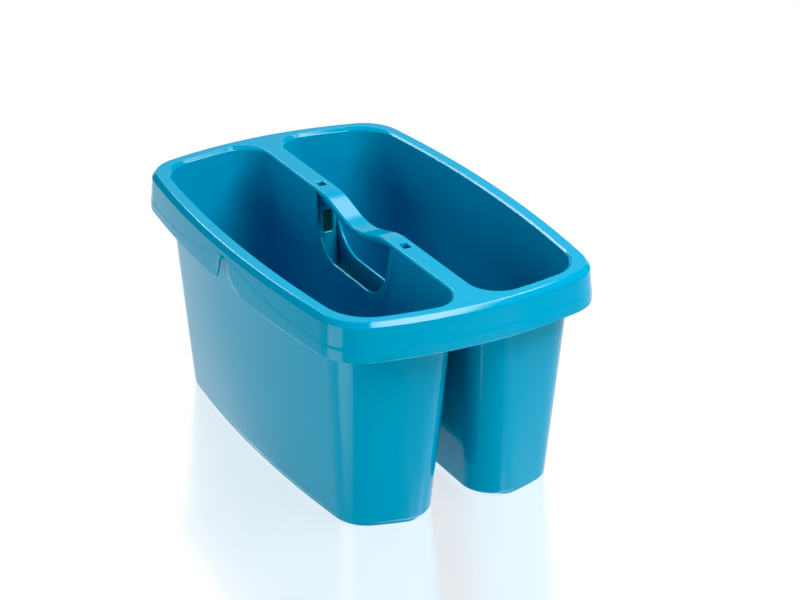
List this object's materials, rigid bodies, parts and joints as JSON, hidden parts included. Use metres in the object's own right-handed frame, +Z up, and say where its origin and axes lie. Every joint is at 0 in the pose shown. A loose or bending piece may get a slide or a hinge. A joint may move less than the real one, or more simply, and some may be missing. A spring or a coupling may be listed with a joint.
{
  "type": "cleaning caddy",
  "caption": "Glossy plastic cleaning caddy: deep tapered tubs side by side under a bowed rim, joined by a dipped carry handle over a hand opening.",
  "frame": {"origin": "floor level, under the middle of the handle", "axes": "+X across the tubs, +Y along the handle, +Z up"},
  "size_m": [0.2534, 0.3888, 0.188],
  "materials": {
    "tub_plastic": "gloss",
    "foot_plastic": "satin",
    "rim_plastic": "gloss",
    "handle_plastic": "gloss",
    "grip_plastic": "satin",
    "rib_plastic": "gloss"
  },
  "bodies": {
    "root": {"left_tub": "tub_plastic", "right_tub": "tub_plastic", "left_foot_pad": "foot_plastic", "right_foot_pad": "foot_plastic", "rim_frame": "rim_plastic", "carry_handle": "handle_plastic", "handle_grip_strip": "grip_plastic", "back_end_rib": "rib_plastic", "front_end_rib": "rib_plastic"}
  },
  "joints": []
}
